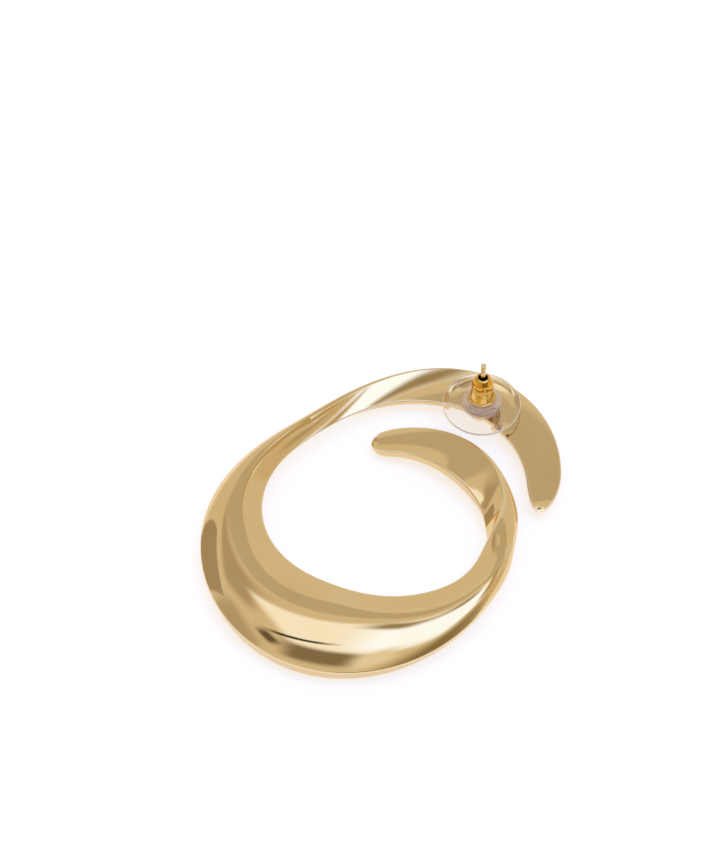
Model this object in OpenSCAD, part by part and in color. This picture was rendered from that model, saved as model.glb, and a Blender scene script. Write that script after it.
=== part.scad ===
// Swirl stud earring in polished metal. One twisted band coils a turn and a quarter round an open
// middle, with its two ends side by side. An ear post is soldered to the back of the outer end and
// carries a push-on clutch with a clear disc. The earring lies face down, with the post standing up.
// Units are millimetres, and +Z is the way out of the back of the earring.

/* [Swirl band] */
// Size of the band as a share of the section table's size
band_scale = 1; // [0.9:0.05:1.2]
// Angle between two rings of the band's surface, degrees
ring_step = 4; // [2:1:8]
// Round of the crisp edges that frame the front face
front_round = 0.25; // [0.1:0.05:0.35]

/* [Post] */
// Angle along the coil at which the post stands, degrees
post_angle = 53; // [40:1:70]
// Distance of the post from the middle of the coil
post_reach = 23.2; // [22.8:0.1:27]
// Diameter of the post
post_d = 0.75; // [0.7:0.05:0.9]
// Length of the post above the back of the band
post_h = 9.9; // [9.2:0.1:12]
// Depth of the notch near the tip, where the clutch clicks on
notch_depth = 0.12; // [0.06:0.02:0.14]
// Length of the notch
notch_h = 0.7; // [0.6:0.1:0.9]
// Distance of the notch from the tip
notch_drop = 1.1; // [0.9:0.1:1.4]
// Diameter of the solder pad at the post's foot
pad_d = 3.6; // [3:0.1:4]
// Height of the solder pad above the back of the band
pad_h = 0.6; // [0.5:0.1:1.2]

/* [Clutch] */
// Gap between the solder pad and the clear disc
clutch_gap = 0.4; // [0.3:0.1:1]
// Diameter of the clear disc
disc_d = 11; // [8:0.5:12]
// Thickness of the clear disc at its rim
disc_h = 0.7; // [0.5:0.1:1]
// Diameter of the hub that stands on the disc
hub_d = 5.4; // [4.8:0.1:6]
// Height of the hub above the disc
hub_h = 1.2; // [0.8:0.1:1.5]
// Diameter of the metal bullet at its foot
bullet_d = 3.5; // [3.2:0.1:3.7]
// Diameter of the bullet's collar, which its sides narrow to
collar_d = 3.1; // [2.7:0.1:3.2]
// Height of the metal bullet above the hub
bullet_h = 4.3; // [3.8:0.1:4.6]
// Diameter of the bullet's flange
flange_d = 3.9; // [3.7:0.1:4.2]
// Diameter of the funnel mouth in the bullet's nose
mouth_d = 1.3; // [1.1:0.1:1.6]
// Running clearance between the post and the clutch, on the radius
post_clearance = 0.04; // [0.03:0.01:0.08]

/* [Hidden] */
$fn = 48;

// Section table of the band, one row for each 30 degrees along the coil from first_angle on.
// radius and height place the middle of the section. half_p and half_q are half its sides: at a turn
// of 0 the p side runs outwards and the q side runs down to the front. turn twists the section from
// there, in degrees. bow bulges the outer p face, hollow dishes the inner one, crown bulges the
// front q face and dish dishes the back one, each in millimetres at the middle of the face.
// The ridge is the corner between the outer p face and the back q face. set_p and set_q move it in
// from the section's corner, which opens a sloping strip towards the coil's middle. ridge is the
// round of that corner, and heel is the round of the inner corner behind it.
RADIUS = 0;
HEIGHT = 1;
HALF_P = 2;
HALF_Q = 3;
TURN = 4;
BOW = 5;
HOLLOW = 6;
CROWN = 7;
DISH = 8;
SET_P = 9;
SET_Q = 10;
RIDGE = 11;
HEEL = 12;
sections = [
    // radius, height, half_p, half_q, turn, bow, hollow, crown, dish, set_p, set_q, ridge, heel
    [19.2, 2.2, 1.4, 0.4, 0, 0.0, 0.0, 0.8, 0.15, 0.0, 0.0, 0.25, 0.2],     // -30, past the outer tip
    [20.9, 2.2, 1.9, 0.4, 0, 0.0, 0.0, 0.8, 0.15, 0.0, 0.0, 0.25, 0.2],     // 0, outer tip
    [25.4, 2.3, 3.1, 0.4, 0, 0.0, 0.0, 1.2, 0.15, 0.0, 0.0, 0.25, 0.2],     // 30
    [26.2, 2.4, 4.0, 0.4, 2, 0.0, 0.0, 1.4, 0.15, 0.0, 0.0, 0.25, 0.2],     // 60, outer crescent, widest
    [21.3, 2.9, 1.85, 0.6, 12, 0.0, 0.0, 0.8, 0.15, 0.0, 0.0, 0.5, 0.2],    // 90
    [17.2, 3.6, 1.1, 1.0, 50, 0.4, 0.0, 0.2, 0.15, 0.0, 0.2, 1.2, 0.2],     // 120, first neck
    [18.6, 3.8, 1.0, 1.9, 70, 0.6, 0.2, 0.0, 0.15, 0.0, 0.8, 1.2, 0.2],     // 150
    [20.7, 3.3, 1.0, 3.8, 76, 1.0, 0.4, 0.0, 0.15, 0.0, 1.7, 1.2, 0.2],     // 180
    [21.1, 3.0, 1.1, 5.9, 78, 1.3, 0.5, 0.0, 0.15, 0.4, 2.2, 1.2, 0.2],     // 210
    [20.8, 3.2, 1.3, 7.2, 75, 1.3, 0.5, 0.1, 0.15, 0.7, 2.4, 0.9, 0.2],     // 240, wide crescent, widest
    [19.8, 3.4, 1.4, 5.5, 70, 0.8, 0.4, 0.2, 0.15, 0.4, 2.7, 0.7, 0.2],     // 270
    [18.1, 3.2, 1.1, 3.2, 60, 0.7, 0.2, 0.2, 0.15, 0.4, 2.3, 0.7, 0.2],     // 300
    [17.4, 3.5, 1.8, 1.5, 62, 0.4, 0.1, 0.4, -0.1, -0.3, 1.7, 0.6, 0.2],    // 330, second neck
    [15.4, 2.1, 1.2, 1.2, -76, 0.3, 0.1, 0.4, -0.9, -0.9, -1.6, 0.4, 0.3],  // 360
    [14.7, 3.1, 0.8, 3.2, -88, 0.8, 0.1, 0.2, -0.1, 0.2, 0.0, 0.4, 0.6],    // 390
    [14.1, 2.4, 0.6, 3.2, -92, 0.9, 0.2, 0.0, 0.15, 0.0, 0.0, 0.25, 0.25],  // 420, inner crescent, widest
    [12.9, 2.0, 0.6, 1.8, -92, 0.8, 0.2, 0.0, 0.15, 0.0, 0.0, 0.25, 0.2],   // 450, inner tip
    [12.0, 1.8, 0.6, 1.4, -92, 0.6, 0.2, 0.0, 0.15, 0.0, 0.0, 0.25, 0.2],   // 480, past the inner tip
    [12.0, 1.8, 0.6, 1.4, -92, 0.6, 0.2, 0.0, 0.15, 0.0, 0.0, 0.25, 0.2]    // 510, past the inner tip
];
first_angle = -30;
row_step = 30;

// The band runs between these two angles, and its ends close over these two stretches
band_start = 2.5;
band_end = 457;
start_taper = 14;
end_taper = 12;
// The narrow side of the section closes later than the wide one, by this factor
narrow_hold = 1.3;
// Largest share of the narrow half side that a corner's round may take
round_share = 0.9;

// The four corners of the section, in order: outer front, inner front, heel and ridge
CORNER_P = 0;
CORNER_Q = 1;
corners = [
    // side of p, side of q
    [1, 1],
    [-1, 1],
    [-1, -1],
    [1, -1]
];
arc_points = 3;
face_points = 3;
section_points = 4 * (arc_points + face_points);

// Row of the section table at an angle: a uniform cubic B-spline through the rows
function table_row(angle) =
    let (place = (angle - first_angle) / row_step,
         i = max(1, min(len(sections) - 3, floor(place))),
         f = place - i)
    (pow(1 - f, 3) * sections[i - 1]
        + (3 * pow(f, 3) - 6 * pow(f, 2) + 4) * sections[i]
        + (-3 * pow(f, 3) + 3 * pow(f, 2) + 3 * f + 1) * sections[i + 1]
        + pow(f, 3) * sections[i + 2]) / 6;

// How far across an end's stretch the angle is, from 0 at the tip to 1 where the band is full
function end_share(distance, stretch) = max(0, min(1, distance / stretch));

// Share of the section's full size at an angle: a quarter ellipse over each end's stretch
function taper(angle) =
    let (a = end_share(angle - band_start, start_taper),
         b = end_share(band_end - angle, end_taper))
    sqrt((1 - pow(1 - a, 2)) * (1 - pow(1 - b, 2)));

// Half sides of the section at an angle. The wider one takes the taper's share, the other closes later
function half_sides(row, share) =
    let (late = min(1, narrow_hold * share),
         p_wide = row[HALF_P] > row[HALF_Q])
    [row[HALF_P] * (p_wide ? share : late), row[HALF_Q] * (p_wide ? late : share)];

// Rounds of the four corners. The ends make them smaller with the section, and a narrow side keeps
// a flat stretch between two of them
function corner_rounds(row, share, half) =
    [for (r = [front_round, front_round, row[HEEL], row[RIDGE]])
        min(r * share, round_share * min(half[0], half[1]))];

// Point on the arc of corner j at an angle, as shares of the half sides
function corner_point(j, half, rounds, angle) =
    let (r = rounds[j])
    [(corners[j][CORNER_P] * (half[0] - r) + r * cos(angle)) / half[0],
     (corners[j][CORNER_Q] * (half[1] - r) + r * sin(angle)) / half[1]];

// Outline of the section before its faces bulge: an arc at each corner, then points along the face
function section_shares(half, rounds) = [
    for (j = [0:3])
        let (last = corner_point(j, half, rounds, 90 * (j + 1)),
             next = corner_point((j + 1) % 4, half, rounds, 90 * (j + 1)))
        each concat(
            [for (k = [0:arc_points - 1])
                corner_point(j, half, rounds, 90 * j + 90 * k / (arc_points - 1))],
            [for (k = [1:face_points]) last + (next - last) * k / (face_points + 1)]
        )
];

// A point of the section, set in, bulged and turned, as its distance from the coil's middle and height
function section_point(row, share, half, at) =
    let (near_ridge = share * (1 + at[0]) / 2 * (1 - at[1]) / 2,
         swell_p = (1 + at[0]) / 2 * row[BOW] + (1 - at[0]) / 2 * row[HOLLOW],
         swell_q = (1 + at[1]) / 2 * row[CROWN] + (1 - at[1]) / 2 * row[DISH],
         p = half[0] * at[0] - near_ridge * row[SET_P] + share * swell_p * (1 - pow(at[1], 2)),
         q = half[1] * at[1] + near_ridge * row[SET_Q] + share * swell_q * (1 - pow(at[0], 2)))
    [row[RADIUS] + p * cos(row[TURN]) + q * sin(row[TURN]),
     row[HEIGHT] + p * sin(row[TURN]) - q * cos(row[TURN])];

// One ring of the band's surface
function ring(angle) =
    let (row = table_row(angle),
         share = taper(angle),
         half = half_sides(row, share))
    [for (at = section_shares(half, corner_rounds(row, share, half)))
        let (s = section_point(row, share, half, at))
        band_scale * [s[0] * cos(angle), s[0] * sin(angle), s[1]]];

// The point that the rings close to at an end of the band
function tip_point(angle) =
    let (row = table_row(angle))
    band_scale * [row[RADIUS] * cos(angle), row[RADIUS] * sin(angle), row[HEIGHT]];

// Angles of the rings: close together over the rounded ends, even between them
tip_turn = [for (t = [15:15:75]) 1 - cos(t)];
ring_angles = concat(
    [for (t = tip_turn) band_start + start_taper * t],
    [for (a = [band_start + start_taper:ring_step:band_end - end_taper]) a],
    [for (k = [len(tip_turn) - 1:-1:0]) band_end - end_taper * tip_turn[k]]
);
rings = [for (a = ring_angles) ring(a)];
ring_count = len(rings);
band_points = [for (r = rings) each r];

// The coil's middle moves so that the band lies on Z = 0 with its box centred
xs = [for (p = band_points) p[0]];
ys = [for (p = band_points) p[1]];
zs = [for (p = band_points) p[2]];
band_shift = [-(min(xs) + max(xs)) / 2, -(min(ys) + max(ys)) / 2, -min(zs)];

// Back of the band under the post, from the flat of the back q face
post_row = table_row(post_angle);
post_p = (post_reach + post_row[HALF_Q] * sin(post_row[TURN]) - post_row[RADIUS]) / cos(post_row[TURN]);
back_z = post_row[HEIGHT] + post_p * sin(post_row[TURN]) + post_row[HALF_Q] * cos(post_row[TURN]);
post_x = band_scale * post_reach * cos(post_angle) + band_shift[0];
post_y = band_scale * post_reach * sin(post_angle) + band_shift[1];
foot_z = band_scale * back_z + band_shift[2];
// The solder pad and the post reach into the band by this much, which the band's thickness covers
foot_sink = 0.6;
// Round of the pad's upper edge
pad_round = 0.4;
// Round of the post's tip
tip_round = 0.2;
// How far in from its two faces the middle of a quarter round lies, as a share of its radius
round_middle = 1 - cos(45);

disc_z = foot_z + pad_h + clutch_gap;
hub_z = disc_z + disc_h;
bullet_z = hub_z + hub_h;
// Bore of the bullet, and the wider bore of the pad that the bullet's stem fills
bore_r = post_d / 2 + post_clearance;
stem_r = 1.1;
piece_gap = 0.05;
pad_bore_r = stem_r + piece_gap;
foot_bore_r = 0.6;
// The stem reaches down through the hub to a seat at half the disc's thickness
seat_depth = disc_h / 2;
stem_h = hub_h + seat_depth - piece_gap;

// Bullet profile, heights above the hub
flange_h = 0.45;
barrel_h = 1.6;
groove_ring_h = 0.35;
groove_ring_depth = 0.25;
collar_h = 0.9;
nose_r = 0.95;
nose_round_steps = 6;
funnel_h = 1.1;

module band() {
    last_ring = (ring_count - 1) * section_points;
    start_tip = len(band_points);
    end_tip = start_tip + 1;
    polyhedron(
        points = concat(band_points, [tip_point(band_start), tip_point(band_end)]),
        faces = concat(
            [for (k = [0:section_points - 1]) [k, (k + 1) % section_points, start_tip]],
            [for (k = [0:section_points - 1])
                [last_ring + (k + 1) % section_points, last_ring + k, end_tip]],
            [for (i = [0:ring_count - 2], k = [0:section_points - 1])
                let (a = i * section_points, b = a + section_points, n = (k + 1) % section_points)
                each [[a + k, b + k, b + n], [a + k, b + n, a + n]]]
        )
    );
}

module post() {
    pin_r = post_d / 2;
    notch_top = post_h - notch_drop;
    rotate_extrude()
        polygon([
            [0, -foot_sink],
            [pin_r, -foot_sink],
            [pin_r, notch_top - notch_h],
            [pin_r - notch_depth, notch_top - notch_h / 2],
            [pin_r, notch_top],
            [pin_r, post_h - tip_round],
            [pin_r - tip_round * round_middle, post_h - tip_round * round_middle],
            [pin_r - tip_round, post_h],
            [0, post_h]
        ]);
}

module solder_pad() {
    pad_r = pad_d / 2;
    rotate_extrude()
        polygon([
            [0, -foot_sink],
            [pad_r, -foot_sink],
            [pad_r, pad_h - pad_round],
            [pad_r - pad_round * round_middle, pad_h - pad_round * round_middle],
            [pad_r - pad_round, pad_h],
            [0, pad_h]
        ]);
}

module swirl() {
    color("#C9A86A") union() {
        translate(band_shift) band();
        translate([post_x, post_y, foot_z]) {
            solder_pad();
            post();
        }
    }
}

// Metal bullet: a stem that the pad holds, a flange, a narrowing barrel, a collar and a round nose
// with a funnel that leads the post into the bore
module clutch_bullet() {
    barrel_r = bullet_d / 2;
    collar_r = collar_d / 2;
    barrel_top = flange_h + barrel_h;
    collar_z = barrel_top + groove_ring_h;
    collar_top = collar_z + collar_h;
    mouth_r = mouth_d / 2;
    nose_h = bullet_h - collar_top;
    color("#D4A53C") translate([post_x, post_y, bullet_z])
        rotate_extrude()
            polygon(concat(
                [
                    [bore_r, -stem_h],
                    [stem_r, -stem_h],
                    [stem_r, piece_gap],
                    [flange_d / 2, piece_gap],
                    [flange_d / 2, flange_h],
                    [barrel_r, flange_h],
                    [collar_r, barrel_top],
                    [collar_r - groove_ring_depth, barrel_top],
                    [collar_r - groove_ring_depth, collar_z],
                    [collar_r, collar_z]
                ],
                [for (k = [0:nose_round_steps])
                    let (t = 90 * k / nose_round_steps)
                    [nose_r + (collar_r - nose_r) * cos(t), collar_top + nose_h * sin(t)]],
                [
                    [mouth_r, bullet_h],
                    [bore_r, bullet_h - funnel_h]
                ]
            ));
}

// Clear pad: a thin disc that spreads the load on the ear lobe, and the hub that holds the bullet
module clutch_pad() {
    hub_r = hub_d / 2;
    hub_round = 0.35;
    ring_groove = 0.25;
    color("#EFE3DC", 0.5) translate([post_x, post_y, hub_z])
        rotate_extrude()
            polygon([
                [foot_bore_r, -disc_h],
                [disc_d / 2, -disc_h],
                [disc_d / 2, 0],
                [hub_r, 0],
                [hub_r, hub_h / 2],
                [hub_r - ring_groove, hub_h / 2],
                [hub_r - ring_groove, hub_h - hub_round],
                [hub_r - ring_groove - hub_round, hub_h],
                [pad_bore_r, hub_h],
                [pad_bore_r, -seat_depth],
                [foot_bore_r, -seat_depth]
            ]);
}

swirl();
clutch_bullet();
clutch_pad();
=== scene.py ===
"""Looks of a swirl stud earring that lies face down on a white table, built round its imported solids.

The band is one surface of two parameters: the angle along the coil and the way round the section. The post with its
solder pad and the two pieces of the clutch are profiles carried round the post's axis. Names that end in _mm, and all
fields of the sub-assemblies, are in millimetres; meshes are in metres, in the frame of the solids, where +Z is up, out
of the back of the earring.
"""

import logging
import math
from dataclasses import astuple, dataclass
from enum import Enum

import bpy
import numpy as np
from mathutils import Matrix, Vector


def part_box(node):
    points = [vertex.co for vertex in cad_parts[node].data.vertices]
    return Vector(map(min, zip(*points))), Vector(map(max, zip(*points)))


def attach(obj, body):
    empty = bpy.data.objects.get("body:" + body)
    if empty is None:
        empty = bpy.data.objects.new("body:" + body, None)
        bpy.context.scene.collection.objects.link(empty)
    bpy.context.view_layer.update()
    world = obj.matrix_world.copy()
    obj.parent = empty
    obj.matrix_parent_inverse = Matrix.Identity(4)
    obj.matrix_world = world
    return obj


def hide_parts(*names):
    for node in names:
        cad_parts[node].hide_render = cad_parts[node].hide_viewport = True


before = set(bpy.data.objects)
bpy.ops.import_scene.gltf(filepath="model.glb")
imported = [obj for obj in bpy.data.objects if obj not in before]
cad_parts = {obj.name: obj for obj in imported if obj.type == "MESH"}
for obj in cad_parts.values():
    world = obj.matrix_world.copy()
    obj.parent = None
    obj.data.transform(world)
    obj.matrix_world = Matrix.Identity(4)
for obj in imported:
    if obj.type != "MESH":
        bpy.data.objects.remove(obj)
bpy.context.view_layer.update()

MM = 0.001
TINY = 1e-12  # least length that a direction is divided by
EDGE = "edge_wear"
LOG = logging.getLogger("swirl_earring")


class Body(Enum):
    """Bodies that the pieces ride on."""

    EARRING = "earring"
    CLUTCH = "clutch"


class Slot(Enum):
    """Material slots of the record."""

    GOLD = "gold_metal"
    CLUTCH_METAL = "clutch_metal"
    PLASTIC = "clear_plastic"


def linear(hex_colour: str) -> tuple[float, float, float, float]:
    """Turns an sRGB hex colour into linear light.

    Args:
        hex_colour: Colour as "#RRGGBB".

    Returns:
        Linear red, green and blue, and a full alpha.
    """
    shares = [int(hex_colour[i:i + 2], 16) / 255 for i in (1, 3, 5)]
    return (*(s / 12.92 if s <= 0.04045 else ((s + 0.055) / 1.055) ** 2.4 for s in shares), 1.0)


def add_node(tree: bpy.types.NodeTree, kind: str, settings: dict | None = None,
             inputs: dict | None = None) -> bpy.types.Node:
    """Adds a node with its settings, its values and its incoming links.

    Args:
        tree: Node tree that gets the node.
        kind: Type of the node.
        settings: Attributes to set on the node.
        inputs: Value, or output socket to link from, for each input's name or number.

    Returns:
        The new node.
    """
    node = tree.nodes.new(kind)
    for name, value in (settings or {}).items():
        setattr(node, name, value)
    for name, value in (inputs or {}).items():
        if isinstance(value, bpy.types.NodeSocket):
            tree.links.new(value, node.inputs[name])
        else:
            node.inputs[name].default_value = value
    return node


def node_material(name: str) -> tuple[bpy.types.Material, bpy.types.NodeTree, bpy.types.Node]:
    """Makes a node material with nothing but its output.

    Args:
        name: Name of the material.

    Returns:
        The material, its node tree and its output node.
    """
    material = bpy.data.materials.new(name)
    material.use_nodes = True
    tree = material.node_tree
    tree.nodes.clear()
    return material, tree, add_node(tree, "ShaderNodeOutputMaterial")


@dataclass(frozen=True)
class PolishedGoldPlate:
    """Pale gold plating over a cast zinc alloy swirl, buffed to a mirror.

    Buffing leaves the surface very slightly wavy, so that reflections bend softly, and hairlines too fine to see one
    by one, which only blur them. The crisp edges take the most buffing and are a little paler and softer.
    """

    name: str = "pale_gold_plate_mirror_polished"
    colour: str = "#EACC98"
    deep_colour: str = "#E4C184"
    edge_colour: str = "#F1DCB4"
    roughness: float = 0.045
    uneven: float = 0.3
    wave_mm: float = 8.0
    wave_height_mm: float = 0.014
    hairline_mm: float = 0.3
    hairline_height_mm: float = 0.0003

    def material(self) -> bpy.types.Material:
        """Builds the plating.

        Returns:
            The finished material.
        """
        material, tree, output = node_material(self.name)
        place = add_node(tree, "ShaderNodeTexCoord").outputs["Object"]
        cloud = add_node(tree, "ShaderNodeTexNoise", {},
                         {"Vector": place, "Scale": 1 / (self.wave_mm * MM), "Detail": 1.0}).outputs["Fac"]
        hairline = add_node(tree, "ShaderNodeTexNoise", {},
                            {"Vector": place, "Scale": 1 / (self.hairline_mm * MM), "Detail": 3.0}).outputs["Fac"]
        edge = add_node(tree, "ShaderNodeAttribute", {"attribute_name": EDGE}).outputs["Fac"]
        tone = add_node(tree, "ShaderNodeMix", {"data_type": "RGBA"},
                        {"Factor": cloud, "A": linear(self.colour), "B": linear(self.deep_colour)})
        worn = add_node(tree, "ShaderNodeMix", {"data_type": "RGBA"},
                        {"Factor": edge, "A": tone.outputs["Result"], "B": linear(self.edge_colour)})
        rough = add_node(tree, "ShaderNodeMapRange", {},
                         {"Value": hairline, "To Min": (1 - self.uneven) * self.roughness,
                          "To Max": (1 + self.uneven) * self.roughness})
        blunt = add_node(tree, "ShaderNodeMath", {"operation": "MULTIPLY_ADD"},
                         {0: edge, 1: self.roughness, 2: rough.outputs["Result"]})
        wave = add_node(tree, "ShaderNodeBump", {}, {"Height": cloud, "Distance": self.wave_height_mm * MM})
        fine = add_node(tree, "ShaderNodeBump", {},
                        {"Height": hairline, "Distance": self.hairline_height_mm * MM, "Normal": wave.outputs[0]})
        shader = add_node(tree, "ShaderNodeBsdfPrincipled", {},
                          {"Base Color": worn.outputs["Result"], "Metallic": 1.0, "Roughness": blunt.outputs[0],
                           "Normal": fine.outputs[0]})
        tree.links.new(shader.outputs["BSDF"], output.inputs["Surface"])
        return material


@dataclass(frozen=True)
class TurnedGoldPlate:
    """Deeper yellow flash plating on the turned brass bullet of the clutch.

    Turning leaves faint rings round the axis, which stretch each highlight up and down the barrel.
    """

    name: str = "yellow_gold_plate_turned"
    colour: str = "#D2952F"
    edge_colour: str = "#F0CC78"
    least_roughness: float = 0.036
    most_roughness: float = 0.09
    ring_mm: float = 0.16
    ring_height_mm: float = 0.0012

    def material(self) -> bpy.types.Material:
        """Builds the plating.

        Returns:
            The finished material.
        """
        material, tree, output = node_material(self.name)
        place = add_node(tree, "ShaderNodeTexCoord").outputs["Object"]
        height = add_node(tree, "ShaderNodeSeparateXYZ", {}, {0: place}).outputs["Z"]
        ring = add_node(tree, "ShaderNodeTexNoise", {"noise_dimensions": "1D"},
                        {"W": height, "Scale": 1 / (self.ring_mm * MM), "Detail": 2.0}).outputs["Fac"]
        edge = add_node(tree, "ShaderNodeAttribute", {"attribute_name": EDGE}).outputs["Fac"]
        worn = add_node(tree, "ShaderNodeMix", {"data_type": "RGBA"},
                        {"Factor": edge, "A": linear(self.colour), "B": linear(self.edge_colour)})
        rough = add_node(tree, "ShaderNodeMapRange", {},
                         {"Value": ring, "To Min": self.least_roughness, "To Max": self.most_roughness})
        bump = add_node(tree, "ShaderNodeBump", {}, {"Height": ring, "Distance": self.ring_height_mm * MM})
        shader = add_node(tree, "ShaderNodeBsdfPrincipled", {},
                          {"Base Color": worn.outputs["Result"], "Metallic": 1.0, "Roughness": rough.outputs["Result"],
                           "Normal": bump.outputs[0]})
        tree.links.new(shader.outputs["BSDF"], output.inputs["Surface"])
        return material


@dataclass(frozen=True)
class ClearMouldedPlastic:
    """Clear injection-moulded soft plastic: glossy, with a faint flow texture that bends what shows through it.

    The thick hub cools more slowly and is a little milky, and the disc's cut rim is frosted. Both go by the distance
    from middle, where the post's axis is.
    """

    middle: tuple[float, float]
    name: str = "clear_plastic_moulded"
    colour: str = "#FFFFFF"
    roughness: float = 0.03
    ior: float = 1.33
    milky_colour: str = "#FFF0E2"
    milk: float = 0.3
    milky_to_mm: float = 2.695
    clear_from_mm: float = 2.86
    clear_to_mm: float = 5.35
    frosted_from_mm: float = 5.457
    frost: float = 0.75
    flow_mm: float = 1.5
    flow_height_mm: float = 0.004

    def material(self) -> bpy.types.Material:
        """Builds the plastic.

        Returns:
            The finished material.
        """
        material, tree, output = node_material(self.name)
        place = add_node(tree, "ShaderNodeTexCoord").outputs["Object"]
        flow = add_node(tree, "ShaderNodeTexNoise", {},
                        {"Vector": place, "Scale": 1 / (self.flow_mm * MM), "Detail": 1.0}).outputs["Fac"]
        bump = add_node(tree, "ShaderNodeBump", {}, {"Height": flow, "Distance": self.flow_height_mm * MM})
        from_axis = add_node(tree, "ShaderNodeVectorMath", {"operation": "SUBTRACT"},
                             {0: place, 1: (*self.middle, 0.0)})
        level = add_node(tree, "ShaderNodeVectorMath", {"operation": "MULTIPLY"},
                         {0: from_axis.outputs["Vector"], 1: (1.0, 1.0, 0.0)})
        radius = add_node(tree, "ShaderNodeVectorMath", {"operation": "LENGTH"}, {0: level.outputs["Vector"]})
        clear = add_node(tree, "ShaderNodeMapRange", {"interpolation_type": "SMOOTHSTEP"},
                         {"Value": radius.outputs["Value"], "From Min": self.milky_to_mm * MM,
                          "From Max": self.clear_from_mm * MM, "To Min": 1 - self.milk, "To Max": 1.0})
        rim = add_node(tree, "ShaderNodeMapRange", {"interpolation_type": "SMOOTHSTEP"},
                       {"Value": radius.outputs["Value"], "From Min": self.clear_to_mm * MM,
                        "From Max": self.frosted_from_mm * MM, "To Max": self.frost})
        through = add_node(tree, "ShaderNodeMath", {"operation": "SUBTRACT", "use_clamp": True},
                           {0: clear.outputs["Result"], 1: rim.outputs["Result"]})
        plain = add_node(tree, "ShaderNodeMapRange", {}, {"Value": through.outputs[0], "From Min": 1 - self.milk})
        tint = add_node(tree, "ShaderNodeMix", {"data_type": "RGBA"},
                        {"Factor": plain.outputs["Result"], "A": linear(self.milky_colour), "B": linear(self.colour)})
        shader = add_node(tree, "ShaderNodeBsdfPrincipled", {},
                          {"Base Color": tint.outputs["Result"], "Roughness": self.roughness, "IOR": self.ior,
                           "Transmission Weight": through.outputs[0], "Normal": bump.outputs[0]})
        tree.links.new(shader.outputs["BSDF"], output.inputs["Surface"])
        return material


@dataclass(frozen=True)
class WhiteTableTop:
    """Matt white table top, lit from below as a light table is, so that its shadows stay faint."""

    name: str = "white_table_top_matt"
    colour: str = "#C4C1BF"
    roughness: float = 0.9
    specular: float = 0.1
    glow_colour: str = "#FFFFFF"
    glow: float = 0.61

    def material(self) -> bpy.types.Material:
        """Builds the table top.

        Returns:
            The finished material.
        """
        material, tree, output = node_material(self.name)
        shader = add_node(tree, "ShaderNodeBsdfPrincipled", {},
                          {"Base Color": linear(self.colour), "Roughness": self.roughness,
                           "Specular IOR Level": self.specular, "Emission Color": linear(self.glow_colour),
                           "Emission Strength": self.glow})
        tree.links.new(shader.outputs["BSDF"], output.inputs["Surface"])
        return material


def grid_mesh(name: str, points: np.ndarray, normals: np.ndarray, edge: np.ndarray, closed: bool = False,
              tips: tuple[np.ndarray, ...] = ()) -> bpy.types.Object:
    """Makes a mesh from rings of points that are closed round.

    Quad (i, k) joins points k and k + 1 of ring i to the same points of ring i + 1, so that points run round to the
    left of the way from ring to ring when seen from outside. A closed grid joins its last ring to its first, and an
    open one closes its first and last ring with triangles to a tip.

    Args:
        name: Name of the piece.
        points: Places in metres, shaped rings by points by 3.
        normals: Outward directions at the points, shaped the same.
        edge: Edge wear at the points, from 0 to 1, shaped rings by points.
        closed: Whether the last ring joins the first.
        tips: First and last tip of an open grid.

    Returns:
        The new object, at the origin.
    """
    rings, around, _ = points.shape
    i, k = np.indices((rings if closed else rings - 1, around))
    onward, beside = (i + 1) % rings, (k + 1) % around
    quads = np.stack([i * around + k, i * around + beside, onward * around + beside, onward * around + k], -1)
    corners, sizes = [quads.ravel()], [np.full(quads.shape[0] * around, 4)]
    places, directions, wear = [points.reshape(-1, 3)], [normals.reshape(-1, 3)], [edge.ravel()]
    loop, following = np.arange(around), (np.arange(around) + 1) % around
    for number, tip in enumerate(tips):
        ring = number * (rings - 1)
        pair = (loop, following) if number else (following, loop)
        tip_index = np.full(around, rings * around + number)
        corners.append(np.stack([ring * around + pair[0], ring * around + pair[1], tip_index], -1).ravel())
        sizes.append(np.full(around, 3))
        away = tip - points[ring].mean(axis=0)
        places.append(tip[None])
        directions.append(away[None] / max(np.linalg.norm(away), TINY))
        wear.append(edge[ring, :1])
    corners, sizes, where = np.concatenate(corners), np.concatenate(sizes), np.concatenate(places)
    mesh = bpy.data.meshes.new(name)
    mesh.vertices.add(len(where))
    mesh.vertices.foreach_set("co", where.astype(np.float32).ravel())
    mesh.loops.add(len(corners))
    mesh.loops.foreach_set("vertex_index", corners.astype(np.int32))
    mesh.polygons.add(len(sizes))
    mesh.polygons.foreach_set("loop_start", (np.cumsum(sizes) - sizes).astype(np.int32))
    mesh.update(calc_edges=True)
    mesh.attributes.new(EDGE, "FLOAT", "POINT").data.foreach_set("value", np.concatenate(wear).astype(np.float32))
    mesh.normals_split_custom_set_from_vertices(np.concatenate(directions))
    piece = bpy.data.objects.new(name, mesh)
    bpy.context.scene.collection.objects.link(piece)
    return piece


def dress(piece: bpy.types.Object, material: bpy.types.Material, body: Body, node: str) -> None:
    """Gives a piece its material and says what it stands for.

    Args:
        piece: Finished piece, at the origin.
        material: Its finish.
        body: Body that it moves with.
        node: Solid that it replaces.
    """
    piece.data.materials.append(material)
    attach(piece, body.value)
    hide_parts(node)
    LOG.info("%s: %d faces, replaces %s on %s", piece.name, len(piece.data.polygons), node, body.value)


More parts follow.
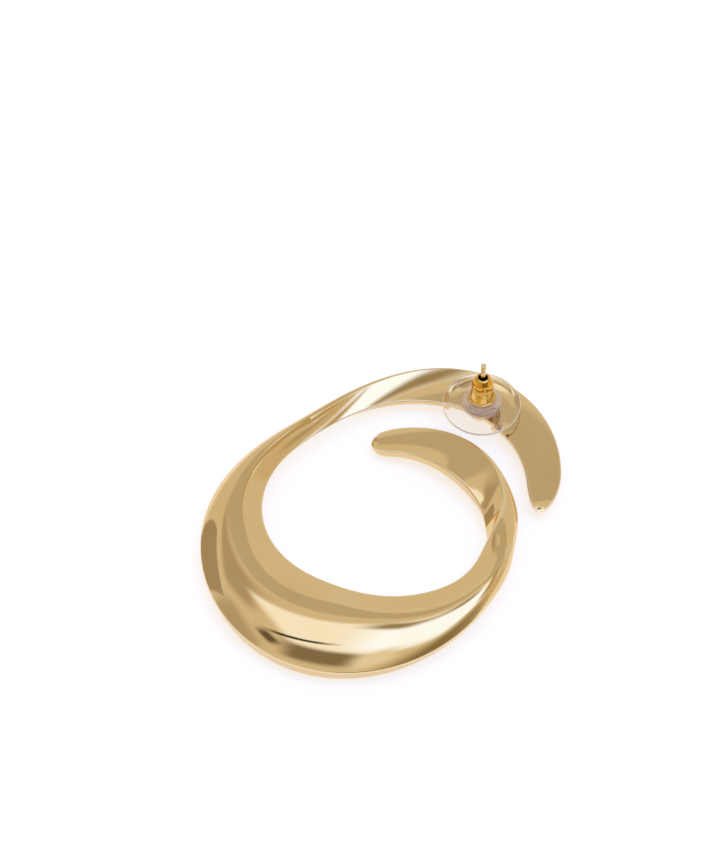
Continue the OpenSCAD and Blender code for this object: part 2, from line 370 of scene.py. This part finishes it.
@dataclass(frozen=True)
class Section:
    """One row of the band's section table, in millimetres and degrees.

    radius and height place the middle of the section. half_p and half_q are half its sides: at a turn of 0 the p side
    runs outwards and the q side runs down to the front. bow bulges the outer p face, hollow dishes the inner one,
    crown bulges the front q face and dish dishes the back one. The ridge is the corner of the outer p face and the
    back q face: set_p and set_q are how far it is set in, and ridge is its round. heel is the round of the corner
    beside it on the inner p face.
    """

    radius: float
    height: float
    half_p: float
    half_q: float
    turn: float
    bow: float
    hollow: float
    crown: float
    dish: float
    set_p: float
    set_q: float
    ridge: float
    heel: float


@dataclass(frozen=True)
class SwirlBand:
    """Twisted band, a surface over the angle along the coil and the way round the section.

    Each row's comment gives its angle along the coil, in degrees.
    """

    rows: tuple[Section, ...] = (
        # radius, height, half_p, half_q, turn, bow, hollow, crown, dish, set_p, set_q, ridge, heel
        Section(19.2, 2.2, 1.4, 0.4, 0, 0.0, 0.0, 0.8, 0.15, 0.0, 0.0, 0.25, 0.2),     # -30, past the outer tip
        Section(20.9, 2.2, 1.9, 0.4, 0, 0.0, 0.0, 0.8, 0.15, 0.0, 0.0, 0.25, 0.2),     # 0, outer tip
        Section(25.4, 2.3, 3.1, 0.4, 0, 0.0, 0.0, 1.2, 0.15, 0.0, 0.0, 0.25, 0.2),     # 30
        Section(26.2, 2.4, 4.0, 0.4, 2, 0.0, 0.0, 1.4, 0.15, 0.0, 0.0, 0.25, 0.2),     # 60, outer crescent's widest
        Section(21.3, 2.9, 1.85, 0.6, 12, 0.0, 0.0, 0.8, 0.15, 0.0, 0.0, 0.5, 0.2),    # 90
        Section(17.2, 3.6, 1.1, 1.0, 50, 0.4, 0.0, 0.2, 0.15, 0.0, 0.2, 1.2, 0.2),     # 120, first neck
        Section(18.6, 3.8, 1.0, 1.9, 70, 0.6, 0.2, 0.0, 0.15, 0.0, 0.8, 1.2, 0.2),     # 150
        Section(20.7, 3.3, 1.0, 3.8, 76, 1.0, 0.4, 0.0, 0.15, 0.0, 1.7, 1.2, 0.2),     # 180
        Section(21.1, 3.0, 1.1, 5.9, 78, 1.3, 0.5, 0.0, 0.15, 0.4, 2.2, 1.2, 0.2),     # 210
        Section(20.8, 3.2, 1.3, 7.2, 75, 1.3, 0.5, 0.1, 0.15, 0.7, 2.4, 0.9, 0.2),     # 240, wide crescent's widest
        Section(19.8, 3.4, 1.4, 5.5, 70, 0.8, 0.4, 0.2, 0.15, 0.4, 2.7, 0.7, 0.2),     # 270
        Section(18.1, 3.2, 1.1, 3.2, 60, 0.7, 0.2, 0.2, 0.15, 0.4, 2.3, 0.7, 0.2),     # 300
        Section(17.4, 3.5, 1.8, 1.5, 62, 0.4, 0.1, 0.4, -0.1, -0.3, 1.7, 0.6, 0.2),    # 330, second neck
        Section(15.4, 2.1, 1.2, 1.2, -76, 0.3, 0.1, 0.4, -0.9, -0.9, -1.6, 0.4, 0.3),  # 360
        Section(14.7, 3.1, 0.8, 3.2, -88, 0.8, 0.1, 0.2, -0.1, 0.2, 0.0, 0.4, 0.6),    # 390
        Section(14.1, 2.4, 0.6, 3.2, -92, 0.9, 0.2, 0.0, 0.15, 0.0, 0.0, 0.25, 0.25),  # 420, inner crescent's widest
        Section(12.9, 2.0, 0.6, 1.8, -92, 0.8, 0.2, 0.0, 0.15, 0.0, 0.0, 0.25, 0.2),   # 450, inner tip
        Section(12.0, 1.8, 0.6, 1.4, -92, 0.6, 0.2, 0.0, 0.15, 0.0, 0.0, 0.25, 0.2),   # 480, past the inner tip
        Section(12.0, 1.8, 0.6, 1.4, -92, 0.6, 0.2, 0.0, 0.15, 0.0, 0.0, 0.25, 0.2),   # 510, past the inner tip
    )
    side_p: tuple[int, ...] = (1, -1, -1, 1)
    side_q: tuple[int, ...] = (1, 1, -1, -1)
    front_round: float = 0.25
    first_angle: float = -30.0
    row_step: float = 30.0
    start: float = 2.5
    end: float = 457.0
    start_taper: float = 14.0
    end_taper: float = 12.0
    narrow_hold: float = 1.3
    round_share: float = 0.9
    worn_width: float = 0.22
    ring_step: float = 0.75
    tip_rings: int = 14
    arc_points: int = 7
    face_points: int = 13
    nudge: float = 0.001

    def row_at(self, angle: np.ndarray) -> np.ndarray:
        """Reads the section table at any angle, by a uniform cubic B-spline through its rows.

        Args:
            angle: Angles along the coil, in degrees.

        Returns:
            The columns, each shaped like angle.
        """
        table = np.array([astuple(row) for row in self.rows])
        place = (angle - self.first_angle) / self.row_step
        i = np.clip(np.floor(place).astype(int), 1, len(table) - 3)
        f = (place - i)[..., None]
        mixed = ((1 - f) ** 3 * table[i - 1] + (3 * f ** 3 - 6 * f ** 2 + 4) * table[i]
                 + (-3 * f ** 3 + 3 * f ** 2 + 3 * f + 1) * table[i + 1] + f ** 3 * table[i + 2]) / 6
        return np.moveaxis(mixed, -1, 0)

    def share_at(self, angle: np.ndarray) -> np.ndarray:
        """Share of the full section: a quarter ellipse over each end's stretch, and 1 between them."""
        a = np.clip((angle - self.start) / self.start_taper, 0, 1)
        b = np.clip((self.end - angle) / self.end_taper, 0, 1)
        return np.sqrt((1 - (1 - a) ** 2) * (1 - (1 - b) ** 2))

    def halves_at(self, angle: np.ndarray) -> tuple[np.ndarray, np.ndarray]:
        """Half sides at an angle: the wider one takes the taper's share, and the narrow one closes later.

        Args:
            angle: Angles along the coil, in degrees.

        Returns:
            Half sides along p and along q.
        """
        half_p, half_q = self.row_at(angle)[2:4]
        share = self.share_at(angle)
        late = np.minimum(self.narrow_hold * share, 1)
        p_wide = half_p > half_q
        return half_p * np.where(p_wide, share, late), half_q * np.where(p_wide, late, share)

    def outline(self, angle: np.ndarray, way: np.ndarray) -> tuple[np.ndarray, np.ndarray]:
        """Places points on the section's outline before its ridge is set in and its faces bulge.

        way runs from 0 to 8. Its even stretches are the quarter circles of the four corners, and its odd stretches are
        the straight faces from one corner to the next.

        Args:
            angle: Angles along the coil, in degrees, as a column.
            way: How far round each point is, as a row.

        Returns:
            The points as shares of the half sides, along p and along q.
        """
        ridge, heel = self.row_at(angle)[11:]
        front = np.full_like(heel, self.front_round)
        half_p, half_q = self.halves_at(angle)
        limit = self.round_share * np.minimum(half_p, half_q)
        rounds = np.minimum(self.share_at(angle) * np.concatenate([front, front, heel, ridge], 1), limit)
        j = np.floor(way[0] / 2).astype(int) % 4
        following = (j + 1) % 4
        part = np.mod(way, 2)
        along = np.maximum(part - 1, 0)
        turn = np.radians(90 * (j + np.minimum(part, 1)))
        at = []
        for half, side, reach in ((half_p, self.side_p, np.cos(turn)), (half_q, self.side_q, np.sin(turn))):
            side = np.array(side)
            here = side[j] * (half - rounds[:, j]) + rounds[:, j] * reach
            there = side[following] * (half - rounds[:, following]) + rounds[:, following] * reach
            at.append((here + along * (there - here)) / half)
        return at[0], at[1]

    def surface(self, angle: np.ndarray, way: np.ndarray) -> np.ndarray:
        """Works out the band's surface.

        A point is the section's outline with its ridge set in by a share of the distance from the other corners and
        with each face bulged by a parabola across it, turned by the row's turn, and carried to the row's radius and
        height at that angle round the coil's middle.

        Args:
            angle: Angles along the coil, in degrees, as a column.
            way: How far round the section, from 0 to 8, as a row.

        Returns:
            Points in millimetres from the coil's middle, shaped angles by ways by 3.
        """
        radius, height, _, _, turn, bow, hollow, crown, dish, set_p, set_q = self.row_at(angle)[:11]
        share = self.share_at(angle)
        half_p, half_q = self.halves_at(angle)
        at_p, at_q = self.outline(angle, way)
        near_ridge = (1 + at_p) / 2 * (1 - at_q) / 2
        swell_p = (1 + at_p) / 2 * bow + (1 - at_p) / 2 * hollow
        swell_q = (1 + at_q) / 2 * crown + (1 - at_q) / 2 * dish
        p = half_p * at_p + share * (swell_p * (1 - at_q ** 2) - near_ridge * set_p)
        q = half_q * at_q + share * (swell_q * (1 - at_p ** 2) + near_ridge * set_q)
        turn, round_coil = np.radians(turn), np.radians(angle)
        reach = radius + p * np.cos(turn) + q * np.sin(turn)
        up = height + p * np.sin(turn) - q * np.cos(turn)
        return np.stack([reach * np.cos(round_coil), reach * np.sin(round_coil), up], -1)

    def edge_at(self, angle: np.ndarray, way: np.ndarray) -> np.ndarray:
        """Edge wear: a bell curve over the distance from the nearest corner of the section."""
        half_p, half_q = self.halves_at(angle)
        at_p, at_q = self.outline(angle, way)
        away = np.hypot(half_p * (1 - np.abs(at_p)), half_q * (1 - np.abs(at_q)))
        return np.exp(-(away / self.worn_width) ** 2)

    def ring_angles(self) -> np.ndarray:
        """Angles of the rings: even along the band, and crowded over its rounded ends."""
        crowd = 1 - np.cos(np.radians(90 * np.arange(1, self.tip_rings) / self.tip_rings))
        low, high = self.start + self.start_taper, self.end - self.end_taper
        middle = np.linspace(low, high, round((high - low) / self.ring_step) + 1)
        return np.concatenate([self.start + self.start_taper * crowd, middle, self.end - self.end_taper * crowd[::-1]])

    def ways(self) -> np.ndarray:
        """Ways round the section: even over each corner's arc, and closer together near the ends of each face."""
        arc = np.arange(self.arc_points) / self.arc_points
        face = 1 + (1 - np.cos(np.pi * np.arange(self.face_points) / self.face_points)) / 2
        return np.concatenate([2 * j + np.concatenate([arc, face]) for j in range(4)])

    def fit(self, raw: np.ndarray) -> tuple[float, np.ndarray]:
        """Finds the tiny scale and the shift that set the smooth band into the box of its faceted solid.

        Args:
            raw: Points in millimetres from the coil's middle.

        Returns:
            Metres for each millimetre, and the coil's middle in the frame.
        """
        low, high = (np.array(corner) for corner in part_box("swirl"))
        least, most = raw.reshape(-1, 3).min(0), raw.reshape(-1, 3).max(0)
        scale = min(MM, *((high - low) / (most - least))[:2])
        middle = (low + high) / 2 - scale * (least + most) / 2
        middle[2] = low[2] - scale * least[2]
        return scale, middle

    def build(self, material: bpy.types.Material) -> np.ndarray:
        """Builds and dresses the band.

        Args:
            material: The band's finish.

        Returns:
            The coil's middle in the frame.
        """
        angle, way = self.ring_angles()[:, None], self.ways()[None]
        raw = self.surface(angle, way)
        along = self.surface(angle + self.nudge, way) - self.surface(angle - self.nudge, way)
        across = self.surface(angle, way + self.nudge) - self.surface(angle, way - self.nudge)
        normals = np.cross(across, along)
        normals /= np.maximum(np.linalg.norm(normals, axis=-1, keepdims=True), TINY)
        scale, middle = self.fit(raw)
        ends = np.array([self.start, self.end])
        radius, height = self.row_at(ends)[:2]
        round_coil = np.radians(ends)
        tips = middle + scale * np.stack([radius * np.cos(round_coil), radius * np.sin(round_coil), height], -1)
        piece = grid_mesh("swirl_band", middle + scale * raw, normals, self.edge_at(angle, way), tips=tuple(tips))
        dress(piece, material, Body.EARRING, "swirl")
        return middle


@dataclass(frozen=True)
class Turned:
    """A profile carried round the post's axis.

    The profile runs from corner to corner, from the bottom middle outwards and up, so that its outside is on its
    right. Each corner is rounded by a parabola arc from a cut's length before it to a cut's length after it.
    """

    around: int = 96
    arc_steps: int = 6
    worn_width: float = 0.12

    def profile(self, corners: np.ndarray, closed: bool) -> tuple[np.ndarray, np.ndarray]:
        """Rounds the corners.

        A point on an arc is (1 - t) squared times its start, plus 2 t (1 - t) times the corner, plus t squared times
        its end, and the normal is square to the curve's direction there.

        Args:
            corners: Radius, height and cut of each corner.
            closed: Whether the last corner joins the first. An open profile starts and ends on the axis.

        Returns:
            Points and normals, as radius and height.
        """
        spots, cuts = corners[:, :2], corners[:, 2:]
        before, after = np.roll(spots, 1, 0) - spots, np.roll(spots, -1, 0) - spots
        starts = spots + cuts * before / np.linalg.norm(before, axis=1, keepdims=True)
        ends = spots + cuts * after / np.linalg.norm(after, axis=1, keepdims=True)
        t = np.linspace(0, 1, self.arc_steps + 1)[None, :, None]
        middle, first, last = spots[:, None], starts[:, None], ends[:, None]
        points = (1 - t) ** 2 * first + 2 * t * (1 - t) * middle + t ** 2 * last
        slopes = (1 - t) * (middle - first) + t * (last - middle)
        if not closed:
            points, slopes = points[1:-1], slopes[1:-1]
        points, slopes = points.reshape(-1, 2), slopes.reshape(-1, 2)
        normals = np.stack([slopes[:, 1], -slopes[:, 0]], -1)
        return points, normals / np.linalg.norm(normals, axis=1, keepdims=True)

    def revolve(self, name: str, axis: np.ndarray, foot: float, corners: np.ndarray, closed: bool) -> bpy.types.Object:
        """Makes the piece.

        Args:
            name: Name of the piece.
            axis: Place of the axis, x and y in metres.
            foot: Height that the profile is measured from, in metres.
            corners: Radius, height and cut of each corner, in millimetres.
            closed: Whether the profile closes on itself, as on a pierced piece.

        Returns:
            The new object, at the origin.
        """
        points, normals = self.profile(corners, closed)
        turn = np.radians(360 * np.arange(self.around) / self.around)
        radius, height = points[:, :1], points[:, 1:]
        places = np.stack([axis[0] + MM * radius * np.cos(turn), axis[1] + MM * radius * np.sin(turn),
                           foot + MM * height + 0 * turn], -1)
        directions = np.stack([normals[:, :1] * np.cos(turn), normals[:, :1] * np.sin(turn),
                               normals[:, 1:] + 0 * turn], -1)
        away = np.linalg.norm(points[:, None] - corners[None, :, :2], axis=-1).min(1)
        wear = np.exp(-(away / self.worn_width) ** 2)[:, None] + 0 * turn
        tips = () if closed else tuple(np.array([axis[0], axis[1], foot + MM * z]) for z in corners[[0, -1], 1])
        return grid_mesh(name, places, directions, wear, closed, tips)


@dataclass(frozen=True)
class EarPost:
    """Ear post with its clutch notch and domed tip, and the solder pad at its foot."""

    post_r: float = 0.375
    post_h: float = 9.9
    tip_round: float = 0.22
    notch_depth: float = 0.12
    notch_h: float = 0.7
    notch_drop: float = 1.1
    pad_r: float = 1.8
    pad_h: float = 0.6
    pad_round: float = 0.45
    solder_fillet: float = 0.25
    foot_sink: float = 0.6

    def build(self, turned: Turned, axis: np.ndarray, material: bpy.types.Material) -> None:
        """Builds and dresses the post, whose tip is the highest point of the swirl's solid.

        Args:
            turned: Way of carrying profiles round the axis.
            axis: Place of the axis, x and y in metres.
            material: The post's finish.
        """
        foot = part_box("swirl")[1].z - MM * self.post_h
        notch_top = self.post_h - self.notch_drop
        corners = np.array([  # radius, height and cut
            (0, -self.foot_sink, 0),
            (self.pad_r, -self.foot_sink, 0.05),
            (self.pad_r, self.pad_h, self.pad_round),
            (self.post_r, self.pad_h, self.solder_fillet),
            (self.post_r, notch_top - self.notch_h, 0.08),
            (self.post_r - self.notch_depth, notch_top - self.notch_h / 2, 0.2),
            (self.post_r, notch_top, 0.08),
            (self.post_r, self.post_h, self.tip_round),
            (0, self.post_h, 0),
        ])
        piece = turned.revolve("post_and_solder_pad", axis, foot, corners, closed=False)
        dress(piece, material, Body.EARRING, "swirl")


@dataclass(frozen=True)
class ClutchBullet:
    """Turned metal bullet of the clutch: stem, lip, barrel, ring groove, collar, and nose with its funnel."""

    bore_r: float = 0.415
    stem_r: float = 1.1
    stem_h: float = 1.5
    seat_gap: float = 0.05
    lip_r: float = 1.95
    lip_h: float = 0.25
    barrel_foot_r: float = 1.75
    barrel_r: float = 1.55
    barrel_h: float = 2.05
    groove_r: float = 1.33
    groove_h: float = 0.35
    collar_r: float = 1.55
    collar_h: float = 3.2
    nose_r: float = 0.95
    nose_h: float = 4.3
    mouth_r: float = 0.65
    funnel_h: float = 1.1

    def build(self, turned: Turned, axis: np.ndarray, material: bpy.types.Material) -> None:
        """Builds and dresses the bullet, measured from its solid's top.

        Args:
            turned: Way of carrying profiles round the axis.
            axis: Place of the axis, x and y in metres.
            material: The bullet's finish.
        """
        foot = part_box("clutch_bullet")[1].z - MM * self.nose_h
        groove_top = self.barrel_h + self.groove_h
        corners = np.array([  # radius, height and cut
            (self.bore_r, -self.stem_h, 0.05),
            (self.stem_r, -self.stem_h, 0.05),
            (self.stem_r, self.seat_gap, 0.03),
            (self.lip_r, self.seat_gap, 0.06),
            (self.lip_r, self.lip_h, 0.12),
            (self.barrel_foot_r, self.lip_h, 0.04),
            (self.barrel_r, self.barrel_h, 0.08),
            (self.groove_r, self.barrel_h + self.groove_h / 2, 0.1),
            (self.collar_r, groove_top, 0.08),
            (self.collar_r, self.collar_h, 0.5),
            (self.nose_r, self.nose_h, 0.3),
            (self.mouth_r, self.nose_h, 0.05),
            (self.bore_r, self.nose_h - self.funnel_h, 0.1),
        ])
        piece = turned.revolve("clutch_bullet_turned", axis, foot, corners, closed=True)
        dress(piece, material, Body.CLUTCH, "clutch_bullet")


@dataclass(frozen=True)
class ClutchPad:
    """Clear comfort disc of the clutch with the ringed hub that holds the bullet."""

    bore_r: float = 0.6
    stem_bore_r: float = 1.15
    seat_depth: float = 0.35
    disc_r: float = 5.5
    disc_h: float = 0.7
    rim_h: float = 0.3
    rim_bevel: float = 0.8
    rim_round: float = 0.08
    hub_r: float = 2.7
    hub_h: float = 1.2
    hub_round: float = 0.35
    ring_step: float = 0.25

    def build(self, turned: Turned, axis: np.ndarray, material: bpy.types.Material) -> None:
        """Builds and dresses the pad, measured from its solid's top.

        Args:
            turned: Way of carrying profiles round the axis.
            axis: Place of the axis, x and y in metres.
            material: The pad's finish.
        """
        disc_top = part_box("clutch_pad")[1].z - MM * self.hub_h
        inner_r = self.hub_r - self.ring_step
        corners = np.array([  # radius, height and cut
            (self.bore_r, -self.disc_h, 0.05),
            (self.disc_r, -self.disc_h, self.rim_round),
            (self.disc_r, self.rim_h - self.disc_h, self.rim_round),
            (self.disc_r - self.rim_bevel, 0, 0.2),
            (self.hub_r, 0, 0.15),
            (self.hub_r, self.hub_h / 2, 0.12),
            (inner_r, self.hub_h / 2, 0.08),
            (inner_r, self.hub_h, self.hub_round),
            (self.stem_bore_r, self.hub_h, 0.05),
            (self.stem_bore_r, -self.seat_depth, 0.05),
            (self.bore_r, -self.seat_depth, 0.05),
        ])
        piece = turned.revolve("clutch_disc_and_hub", axis, disc_top, corners, closed=True)
        dress(piece, material, Body.CLUTCH, "clutch_pad")


@dataclass(frozen=True)
class Softbox:
    """A soft rectangle of light or shade, far away in one direction.

    azimuth is measured from the far side of the table, +Y, towards +X, and elevation from the horizon, in degrees.
    wide and high are half its angles, soft is the share of them over which it fades, radiance is its red, green and
    blue, and roll lifts its right end, in degrees. A later softbox covers an earlier one.
    """

    azimuth: float
    elevation: float
    wide: float
    high: float
    soft: float
    radiance: tuple[float, float, float]
    roll: float = 0.0


@dataclass(frozen=True)
class Studio:
    """White table, soft room light and the camera at the picture's angle.

    middle_column and middle_row are where the coil's middle falls in the picture, in pixels. nearest, farthest and
    table_half are in metres.
    """

    elevation: float = 52.0
    distance_mm: float = 400.0
    pixels_per_mm: float = 7.25
    picture_wide: int = 710
    picture_high: int = 853
    middle_column: float = 383.0
    middle_row: float = 527.0
    sensor_mm: float = 36.0
    nearest: float = 0.01
    farthest: float = 10.0
    table_half: float = 1.5
    room: tuple[float, float, float] = (0.79, 0.77, 0.73)
    softboxes: tuple[Softbox, ...] = (
        Softbox(8, 51, 18, 8, 0.2, (0.61, 0.59, 0.55), 8),          # shade over the far side
        Softbox(-46, 55, 14, 8, 0.4, (0.52, 0.47, 0.41)),           # shade on the far left
        Softbox(93, 79, 23, 33, 0.12, (1.15, 1.32, 1.75)),          # cream ceiling light
        Softbox(98, 64, 18, 24, 0.45, (1.25, 1.7, 3.1)),            # its white middle, down to the right
        Softbox(160, 58, 10, 9, 0.5, (0.95, 1.0, 1.15)),            # its near side
        Softbox(94, 24, 18, 21, 0.2, (0.73, 0.67, 0.56)),           # warm card on the right
        Softbox(66, 53, 20, 7, 0.25, (0.60, 0.50, 0.30), -6),       # brown card above it
        Softbox(150, 18, 40, 22, 0.5, (0.30, 0.26, 0.17)),          # dim room behind the camera
        Softbox(-96, 34, 13, 14, 0.4, (0.55, 0.51, 0.45)),          # card on the left
        Softbox(-63, 17, 13.5, 22, 0.06, (0.45, 0.40, 0.34)),       # brown card, low on the left
        Softbox(-150, 63, 15, 8.5, 0.4, (0.27, 0.24, 0.19), -8),    # dark flag behind the camera
        Softbox(-107, 56, 5, 3.5, 0.6, (0.16, 0.13, 0.08)),         # small dark flag beside it
        Softbox(-108, 71.5, 1.3, 11, 0.5, (0.03, 0.02, 0.02), 27),  # thin black flag over the table
        Softbox(30, 71, 6, 4, 0.7, (0.40, 0.35, 0.27)),             # small brown flag, high on the far side
    )

    def camera(self, coil_middle: np.ndarray) -> None:
        """Sets the camera so that the coil's middle falls on its place in the picture.

        The camera stands back from the coil's middle along its own line of sight, and steps aside by the middle's
        distance from the picture's centre, at the picture's scale.

        Args:
            coil_middle: Place of the coil's middle in the frame.
        """
        tilt = math.radians(90 - self.elevation)
        right = np.array([1.0, 0.0, 0.0])
        up = np.array([0.0, math.cos(tilt), math.sin(tilt)])
        back = np.array([0.0, -math.sin(tilt), math.cos(tilt)])
        aside = (self.middle_column - self.picture_wide / 2) / self.pixels_per_mm
        above = (self.picture_high / 2 - self.middle_row) / self.pixels_per_mm
        data = bpy.data.cameras.new("camera")
        data.sensor_fit = "AUTO"
        data.sensor_width = self.sensor_mm
        data.lens = self.pixels_per_mm * self.distance_mm * self.sensor_mm / self.picture_high
        data.clip_start, data.clip_end = self.nearest, self.farthest
        camera = bpy.data.objects.new("camera", data)
        camera.location = coil_middle + MM * (self.distance_mm * back - aside * right - above * up)
        camera.rotation_euler = (tilt, 0.0, 0.0)
        bpy.context.scene.collection.objects.link(camera)
        bpy.context.scene.camera = camera

    def table(self) -> None:
        """Lays the table top under the earring."""
        half = self.table_half
        mesh = bpy.data.meshes.new("table_top")
        mesh.from_pydata([(-half, -half, 0), (half, -half, 0), (half, half, 0), (-half, half, 0)], [], [(0, 1, 2, 3)])
        top = bpy.data.objects.new("table_top", mesh)
        bpy.context.scene.collection.objects.link(top)
        mesh.materials.append(WhiteTableTop().material())

    def softbox_share(self, tree: bpy.types.NodeTree, ray: bpy.types.NodeSocket, box: Softbox) -> bpy.types.NodeSocket:
        """Works out how much of a softbox a direction sees.

        The direction is split along the softbox's centre, its right and its up. Right and up over centre, each over
        the tangent of the half angle, are the place on the rectangle, which fades from 1 - soft to 1 + soft.

        Args:
            tree: The world's node tree.
            ray: Direction, as a unit vector.
            box: The softbox.

        Returns:
            Socket with the share, from 0 to 1.
        """
        a, e = math.radians(box.azimuth), math.radians(box.elevation)
        centre = (math.sin(a) * math.cos(e), math.cos(a) * math.cos(e), math.sin(e))
        level = np.array((math.cos(a), -math.sin(a), 0.0))
        upright = np.array((-math.sin(a) * math.sin(e), -math.cos(a) * math.sin(e), math.cos(e)))
        roll = math.radians(box.roll)
        right = tuple(math.cos(roll) * level + math.sin(roll) * upright)
        up = tuple(math.cos(roll) * upright - math.sin(roll) * level)
        ahead = add_node(tree, "ShaderNodeVectorMath", {"operation": "DOT_PRODUCT"}, {0: ray, 1: centre})
        share = add_node(tree, "ShaderNodeMath", {"operation": "GREATER_THAN"}, {0: ahead.outputs["Value"], 1: 0.0})
        for axis, half in ((right, box.wide), (up, box.high)):
            side = add_node(tree, "ShaderNodeVectorMath", {"operation": "DOT_PRODUCT"}, {0: ray, 1: axis})
            slope = add_node(tree, "ShaderNodeMath", {"operation": "DIVIDE"},
                             {0: side.outputs["Value"], 1: ahead.outputs["Value"]})
            reach = add_node(tree, "ShaderNodeMath", {"operation": "ABSOLUTE"}, {0: slope.outputs[0]})
            edge = math.tan(math.radians(half))
            fade = add_node(tree, "ShaderNodeMapRange", {"interpolation_type": "SMOOTHSTEP"},
                            {"Value": reach.outputs[0], "From Min": edge * (1 - box.soft),
                             "From Max": edge * (1 + box.soft), "To Min": 1.0, "To Max": 0.0})
            share = add_node(tree, "ShaderNodeMath", {"operation": "MULTIPLY"},
                             {0: share.outputs[0], 1: fade.outputs["Result"]})
        return share.outputs[0]

    def light(self) -> None:
        """Surrounds the table with the room's soft light and its softboxes."""
        world = bpy.data.worlds.new("studio")
        world.use_nodes = True
        tree = world.node_tree
        tree.nodes.clear()
        ray = add_node(tree, "ShaderNodeTexCoord").outputs["Generated"]
        radiance = (*self.room, 1.0)
        for box in self.softboxes:
            share = self.softbox_share(tree, ray, box)
            mix = add_node(tree, "ShaderNodeMix", {"data_type": "RGBA"},
                           {"Factor": share, "A": radiance, "B": (*box.radiance, 1.0)})
            radiance = mix.outputs["Result"]
        background = add_node(tree, "ShaderNodeBackground", {}, {"Color": radiance})
        output = add_node(tree, "ShaderNodeOutputWorld")
        tree.links.new(background.outputs["Background"], output.inputs["Surface"])
        bpy.context.scene.world = world
        bpy.context.scene.view_settings.view_transform = "Standard"


def main() -> None:
    """Builds the earring and its studio."""
    logging.basicConfig(level=logging.INFO, format="%(name)s: %(message)s")
    gold = PolishedGoldPlate().material()
    coil_middle = SwirlBand().build(gold)
    low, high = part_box("clutch_bullet")
    axis = np.array((low + high) / 2)[:2]
    turned = Turned()
    EarPost().build(turned, axis, gold)
    ClutchBullet().build(turned, axis, TurnedGoldPlate().material())
    ClutchPad().build(turned, axis, ClearMouldedPlastic(tuple(axis)).material())
    studio = Studio()
    studio.camera(coil_middle)
    studio.table()
    studio.light()


if __name__ == "__main__":
    main()
